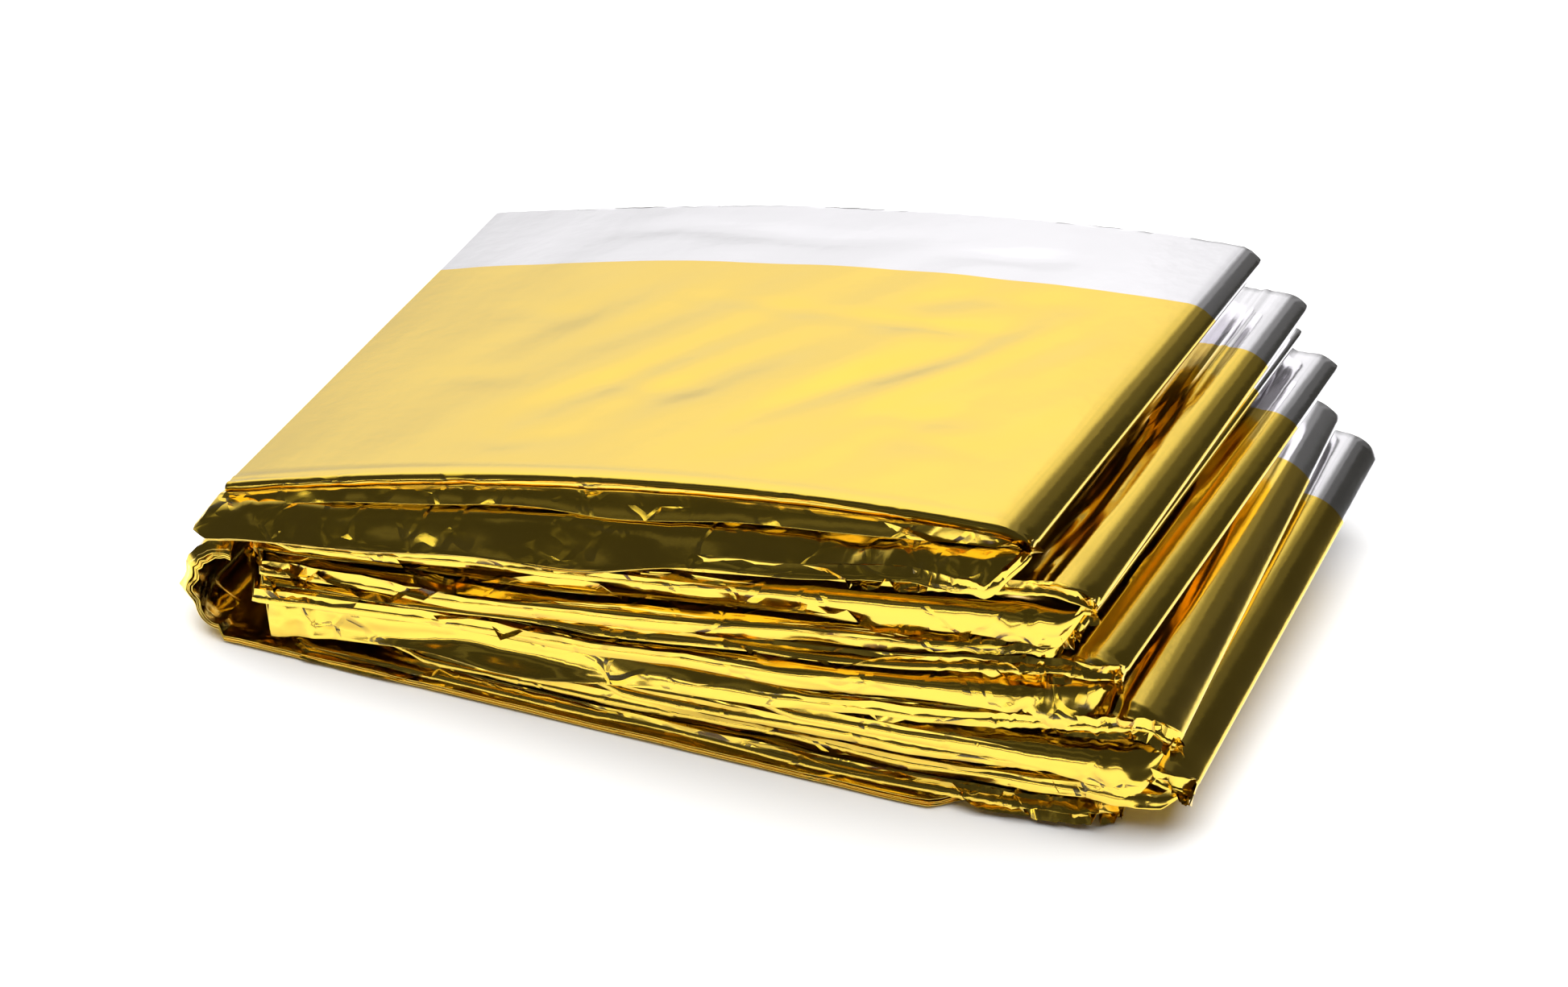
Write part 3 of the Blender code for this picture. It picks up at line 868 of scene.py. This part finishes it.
FILMS = (
    Film("outer_film", HALF_BUNDLE, 0.0, LIP_FINE, ACROSS_FINE, 0.3,
         share_by_pass(0.84, {1: 1.0, 2: 1.0, 9: 1.0, 14: 1.0})),
    Film("second_film", 0.14, 0.15, LIP_COARSE, ACROSS_COARSE, 1.7,
         share_by_pass(0.90, {1: 0.9, 2: 0.97, 9: 0.97, 14: 1.0})),
    Film("third_film", -0.14, 0.5, LIP_COARSE, ACROSS_COARSE, 3.1,
         share_by_pass(0.95, {1: 1.0, 2: 0.93, 9: 0.92, 14: 1.0})),
    Film("inner_film", -HALF_BUNDLE, 1.1, LIP_FINE, ACROSS_COARSE, 4.6,
         share_by_pass(0.99, {1: 0.90, 2: 1.0, 9: 0.8, 14: 1.0})),
)

films = []
for film in FILMS:
    points, first = film_points(film)
    piece = lay_grid(film.name, points, first + len(film.lip_rows) - 1)
    films.append(piece)
    print(film.name, "rows and columns", points.shape[:2])

# %% [markdown]
# The top sheet is what the eye goes to first, and its troughs are only 2 or 3 mm wide. Its part
# of the outer film is subdivided once, and only then are the troughs pressed into it.


# %% Press the troughs into the top sheet
def press_top_sheet(film):
    """Subdivide the top sheet's faces, found by their row and column, and lower their points."""
    mesh = film.data
    columns = len(COLUMNS)
    top_columns = int(np.sum((UPPER == 1) & (KIND == "pass")))
    first_row = TURN_ROWS + 1 + len(LIP_FINE)
    last_row = first_row + len(ACROSS_FINE) - 1
    bpy.ops.object.select_all(action="DESELECT")
    film.select_set(True)
    bpy.context.view_layer.objects.active = film
    bpy.ops.object.mode_set(mode="EDIT")
    bpy.ops.mesh.select_all(action="DESELECT")
    bpy.ops.object.mode_set(mode="OBJECT")
    for face in mesh.polygons:
        row, column = divmod(min(face.vertices), columns)
        face.select = first_row <= row < last_row and column < top_columns - 1
    bpy.ops.object.mode_set(mode="EDIT")
    bpy.ops.mesh.subdivide(number_cuts=1)
    bpy.ops.object.mode_set(mode="OBJECT")
    chosen = sorted({v for face in mesh.polygons if face.select for v in face.vertices})
    places = np.zeros(len(mesh.vertices) * 3)
    mesh.vertices.foreach_get("co", places)
    places = places.reshape(-1, 3)
    x, y = places[chosen, 0] / MM + ORIGIN_X, places[chosen, 1] / MM + ORIGIN_Y
    places[chosen, 2] += top_sheet_relief(x, y) * MM
    mesh.vertices.foreach_set("co", places.reshape(-1))
    mesh.update()
    print("top sheet points:", len(chosen), "faces of the outer film:", len(mesh.polygons))


press_top_sheet(films[0])
bpy.ops.object.shade_smooth_by_angle(angle=SHARP_CREASE)

# %% [markdown]
# ## The metallised film
# Polyester film coated with aluminium in a vacuum is close to a mirror. The gold side is the same
# metal under a yellow lacquer, so white turns to pale gold in one reflection, and light that
# bounces between two gold faces turns orange and then brown. That is all in the metal's colour:
# a metal keeps its default IOR, and nothing else has to paint the browns. The clear surface of the
# lacquer is a coat over the metal, which lays a thin pale sheen on the darkest folds.


# %% Small helpers for materials
def linear(code):
    """An sRGB hex colour as the linear values that Blender's sockets take."""
    values = [int(code[i:i + 2], 16) / 255 for i in (0, 2, 4)]
    return tuple(v / 12.92 if v <= 0.04045 else ((v + 0.055) / 1.055) ** 2.4 for v in values) + (1.0,)


def add_node(tree, kind, links=(), **settings):
    """A node with its settings; links are (input name or number, output socket) pairs."""
    node = tree.nodes.new(kind)
    for name, value in settings.items():
        if name.startswith("in_"):
            key = name[3:]
            node.inputs[int(key) if key.isdigit() else key.replace("_", " ")].default_value = value
        else:
            setattr(node, name, value)
    for key, socket in links:
        tree.links.new(socket, node.inputs[key])
    return node


# %% [markdown]
# Patterns follow the film's own map in metres, so a noise of scale 90 has clouds about 11 mm wide
# and one of scale 300 has wrinkles of about 3 mm. The silver face shows behind one line across the
# strip, where the lengthwise fold leaves it outside, and that line wanders by less than 1 mm.

# %% Colours and sizes of the film's finish
GOLD = "F9D244"
SILVER = "F0EEF2"
GOLD_LINE = 0.0652                      # metres behind the hinge where the silver face begins
LINE_WANDER, LINE_SOFT = 0.0008, 0.0002
SMOOTHEST, HAZIEST = 0.12, 0.19         # roughness of the metal
COAT_ROUGHNESS = 0.16
CLOUD_SCALE, WRINKLE_SCALE, CELL_SCALE = 90.0, 300.0, 120.0
WRINKLE_SHARE = 0.16                    # height of the wrinkles as a share of the crinkles'
CRINKLE_FROM, CRINKLE_TO = -0.0015, -0.0035    # metres in front of the hinge where crinkles set in


# %% The base colour: gold, and silver behind the line
def silver_behind_gold(tree, chart, split):
    """A colour socket with gold in front of the line and silver behind it."""
    wobble = add_node(tree, "ShaderNodeTexNoise", [("Vector", chart.outputs["UV"])],
                      in_Scale=60.0, in_Detail=2.0)
    edge = add_node(tree, "ShaderNodeMath", [(0, wobble.outputs["Fac"]), (2, split.outputs["Y"])],
                    operation="MULTIPLY_ADD", in_1=LINE_WANDER)
    band = add_node(tree, "ShaderNodeMapRange", [("Value", edge.outputs[0])],
                    in_From_Min=GOLD_LINE + 0.0003, in_From_Max=GOLD_LINE + 0.0003 + LINE_SOFT)
    colour = add_node(tree, "ShaderNodeMix", [("Factor", band.outputs["Result"])],
                      data_type="RGBA", in_6=linear(GOLD), in_7=linear(SILVER))
    return colour.outputs[2]


# %% [markdown]
# Vacuum-coated film is never quite flat. A noise gives it small wrinkles everywhere, and on the
# lips the sharp lines of crushed foil come from the borders of cells that are bent by a second
# noise and kept only in patches. They are far too thin to model, so they are bump.


# %% Wrinkles and crinkles
def film_height(tree, chart, split, cloudy):
    """A height socket: wrinkles everywhere, and crinkles on patches of the lips."""
    wrinkle = add_node(tree, "ShaderNodeTexNoise", [("Vector", chart.outputs["UV"])],
                       in_Scale=WRINKLE_SCALE, in_Detail=3.0)
    drift = add_node(tree, "ShaderNodeTexNoise", [("Vector", chart.outputs["UV"])],
                     in_Scale=130.0, in_Detail=1.0)
    bent = add_node(tree, "ShaderNodeMix", [(4, chart.outputs["UV"]), (5, drift.outputs["Color"])],
                    data_type="VECTOR", in_0=0.006)
    cells = add_node(tree, "ShaderNodeTexVoronoi", [("Vector", bent.outputs[1])],
                     feature="DISTANCE_TO_EDGE", in_Scale=CELL_SCALE)
    ridge = add_node(tree, "ShaderNodeMapRange", [("Value", cells.outputs["Distance"])],
                     in_From_Max=0.10, in_To_Min=1.0, in_To_Max=0.0)
    patches = add_node(tree, "ShaderNodeMapRange", [("Value", cloudy.outputs["Fac"])],
                       in_From_Min=0.46, in_From_Max=0.62)
    on_lips = add_node(tree, "ShaderNodeMapRange", [("Value", split.outputs["Y"])],
                       in_From_Min=CRINKLE_TO, in_From_Max=CRINKLE_FROM, in_To_Min=1.0, in_To_Max=0.0)
    kept = add_node(tree, "ShaderNodeMath", [(0, patches.outputs[0]), (1, on_lips.outputs[0])],
                    operation="MULTIPLY")
    crinkle = add_node(tree, "ShaderNodeMath", [(0, ridge.outputs[0]), (1, kept.outputs[0])],
                       operation="MULTIPLY")
    height = add_node(tree, "ShaderNodeMath", [(0, wrinkle.outputs["Fac"]), (2, crinkle.outputs[0])],
                      operation="MULTIPLY_ADD", in_1=WRINKLE_SHARE)
    return height.outputs[0]


# %% The material of the films
def film_material(name, silver_band):
    """Metallised film under clear lacquer, with or without the silver face at the back."""
    material = bpy.data.materials.new(name)
    material.use_nodes = True
    tree = material.node_tree
    shader = tree.nodes["Principled BSDF"]
    shader.inputs["Metallic"].default_value = 1.0
    shader.inputs["Coat Weight"].default_value = 1.0
    shader.inputs["Coat Roughness"].default_value = COAT_ROUGHNESS
    chart = add_node(tree, "ShaderNodeUVMap", uv_map="film")
    split = add_node(tree, "ShaderNodeSeparateXYZ", [(0, chart.outputs["UV"])])
    if silver_band:
        tree.links.new(silver_behind_gold(tree, chart, split), shader.inputs["Base Color"])
    else:
        shader.inputs["Base Color"].default_value = linear(GOLD)
    cloudy = add_node(tree, "ShaderNodeTexNoise", [("Vector", chart.outputs["UV"])],
                      in_Scale=CLOUD_SCALE, in_Detail=1.0)
    haze = add_node(tree, "ShaderNodeMapRange", [("Value", cloudy.outputs["Fac"])],
                    in_From_Min=0.3, in_From_Max=0.7, in_To_Min=SMOOTHEST, in_To_Max=HAZIEST)
    tree.links.new(haze.outputs["Result"], shader.inputs["Roughness"])
    bump = add_node(tree, "ShaderNodeBump", [("Height", film_height(tree, chart, split, cloudy))],
                    in_Strength=0.6, in_Distance=0.0004)
    tree.links.new(bump.outputs["Normal"], shader.inputs["Normal"])
    return material


outer_metal = film_material("gold_lacquered_metallised_film_with_silver_band", True)
inner_metal = film_material("gold_lacquered_metallised_film", False)
for piece in films:
    piece.data.materials.clear()
    piece.data.materials.append(outer_metal if piece.name == "outer_film" else inner_metal)

print("materials:", outer_metal.name, inner_metal.name)

# %% [markdown]
# Each film is attached to the frame's root body, and the solid model's blanket part is hidden.

# %% Attach the films to the frame, and hide the solid blanket
for piece in films:
    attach(piece, "root")
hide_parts("foil_blanket")

# %% [markdown]
# ## Floor, light and camera
# Mirror-like film shows its surroundings more than itself, so the light is set as a photographer
# would set it: large soft panels behind the packet, for the pale top, a white floor for the bright
# lower edges, and a dark room everywhere else, for the olive flaps.

# %% Floor
FLOOR_SIZE, FLOOR_BELOW = 3.0, 0.0003
bpy.ops.object.select_all(action="DESELECT")
bpy.ops.mesh.primitive_plane_add(size=FLOOR_SIZE, location=(0, 0, -FLOOR_BELOW))
floor = bpy.context.object
floor.name = "floor"
paper = bpy.data.materials.new("matt_white_paper")
paper.use_nodes = True
paper.node_tree.nodes["Principled BSDF"].inputs["Base Color"].default_value = linear("F2F2F2")
paper.node_tree.nodes["Principled BSDF"].inputs["Roughness"].default_value = 0.9
floor.data.materials.append(paper)


# %% Panels
def panel(name, place, aim, width, height, power, seen_in_film=True):
    """A rectangular lamp that faces a point."""
    light = bpy.data.lights.new(name, "AREA")
    light.shape = "RECTANGLE"
    light.size, light.size_y = width, height
    light.energy = power
    lamp = bpy.data.objects.new(name, light)
    bpy.context.scene.collection.objects.link(lamp)
    lamp.location = place
    direction = np.array(aim, float) - np.array(place, float)
    yaw = math.atan2(direction[1], direction[0]) - math.pi / 2
    pitch = math.acos(-direction[2] / np.linalg.norm(direction))
    lamp.rotation_euler = (pitch, 0, yaw)
    lamp.visible_glossy = seen_in_film
    return lamp


def panel_toward(name, azimuth, elevation, distance, width, height, radiance):
    """A panel as the film sees it: its direction in degrees and how bright its surface is."""
    a, e = math.radians(azimuth), math.radians(elevation)
    place = [distance * v for v in (math.cos(e) * math.cos(a), math.cos(e) * math.sin(a), math.sin(e))]
    return panel(name, place, (0, 0, 0.02), width, height, radiance * math.pi * width * height)


# %% [markdown]
# A single panel has a hard edge, and the top sheet would show it. So the soft box is five panels
# inside one another, each smaller, and their edges add up to a gradual one. Four more above it
# brighten the far side of the sheet. Two side panels light the right folds, and a low bright strip
# and two dim ones in front give the lips their thin lines.

# %% Soft boxes, side panels and strips
SOFT_BOXES, SOFT_BOX_AZIMUTH, SOFT_BOX_LOW, SOFT_BOX_SIZE = 5, 130, 28, 1.90
UPPER_AZIMUTH, UPPER_TOP, UPPER_DISTANCE = 119, 64, 1.20

for step in range(SOFT_BOXES):
    size = SOFT_BOX_SIZE - 0.24 * step
    elevation = SOFT_BOX_LOW + 0.8 * step
    panel_toward(f"soft_box_{step + 1}", SOFT_BOX_AZIMUTH, elevation, 1.25, size, size, 0.172)
for step, low in enumerate((14, 22, 30, 38)):
    height = 2 * UPPER_DISTANCE * math.tan(math.radians((UPPER_TOP - low) / 2))
    panel_toward(f"upper_soft_box_{step + 1}", UPPER_AZIMUTH, (UPPER_TOP + low) / 2, UPPER_DISTANCE,
                 1.50 - 0.1 * step, height, 0.09)
for step, (azimuth, elevation, radiance) in enumerate(((78, 34, 0.16), (62, 30, 0.07))):
    panel_toward(f"side_panel_{step + 1}", azimuth, elevation, 1.30, 0.50, 1.00, radiance)
panel_toward("low_front_strip", 254, 8, 1.50, 1.60, 0.10, 2.60)
for step, (azimuth, elevation) in enumerate(((250, 26), (244, 50))):
    panel_toward(f"dim_front_strip_{step + 1}", azimuth, elevation, 1.50, 1.10, 0.18, 0.07)
panel("floor_fill", (0.0, 0.0, 1.6), (0, 0.001, 0), 2.2, 2.2, 60.0, seen_in_film=False)
print("lamps:", len(bpy.data.lights))

# %% [markdown]
# The camera sees a pale backdrop, and the film sees a dark room. Both are the world's colour, which
# differs for rays that come straight from the camera.

# %% The dark room and the pale backdrop
DARK_ROOM = (0.046, 0.045, 0.040, 1.0)
PALE_BACKDROP = (0.9, 0.9, 0.9, 1.0)
world = bpy.data.worlds.new("dark_studio")
bpy.context.scene.world = world
world.use_nodes = True
tree = world.node_tree
tree.nodes.clear()
path = add_node(tree, "ShaderNodeLightPath")
dark = add_node(tree, "ShaderNodeBackground", in_Color=DARK_ROOM)
pale = add_node(tree, "ShaderNodeBackground", in_Color=PALE_BACKDROP)
seen = add_node(tree, "ShaderNodeMixShader",
                [(0, path.outputs["Is Camera Ray"]), (1, dark.outputs[0]), (2, pale.outputs[0])])
add_node(tree, "ShaderNodeOutputWorld", [("Surface", seen.outputs[0])])
bpy.context.scene.view_settings.view_transform = "Standard"

# %% [markdown]
# The photo was taken from a step to the right and above with a narrow lens, so the far edges hardly
# shrink. The angles come from the directions in which the edges of the folds run in it.

# %% Camera
CAMERA_AZIMUTH, CAMERA_ELEVATION, LENS_ANGLE = 20.5, 37.0, 14.0
CAMERA_PLACE = (356.89 - ORIGIN_X, -696.49 - ORIGIN_Y, 614.35)
lens = bpy.data.cameras.new("photo_camera")
lens.sensor_fit = "HORIZONTAL"
lens.angle = math.radians(LENS_ANGLE)
camera = bpy.data.objects.new("photo_camera", lens)
bpy.context.scene.collection.objects.link(camera)
camera.location = [value * MM for value in CAMERA_PLACE]
camera.rotation_euler = (math.radians(90 - CAMERA_ELEVATION), 0, math.radians(CAMERA_AZIMUTH))
bpy.context.scene.camera = camera
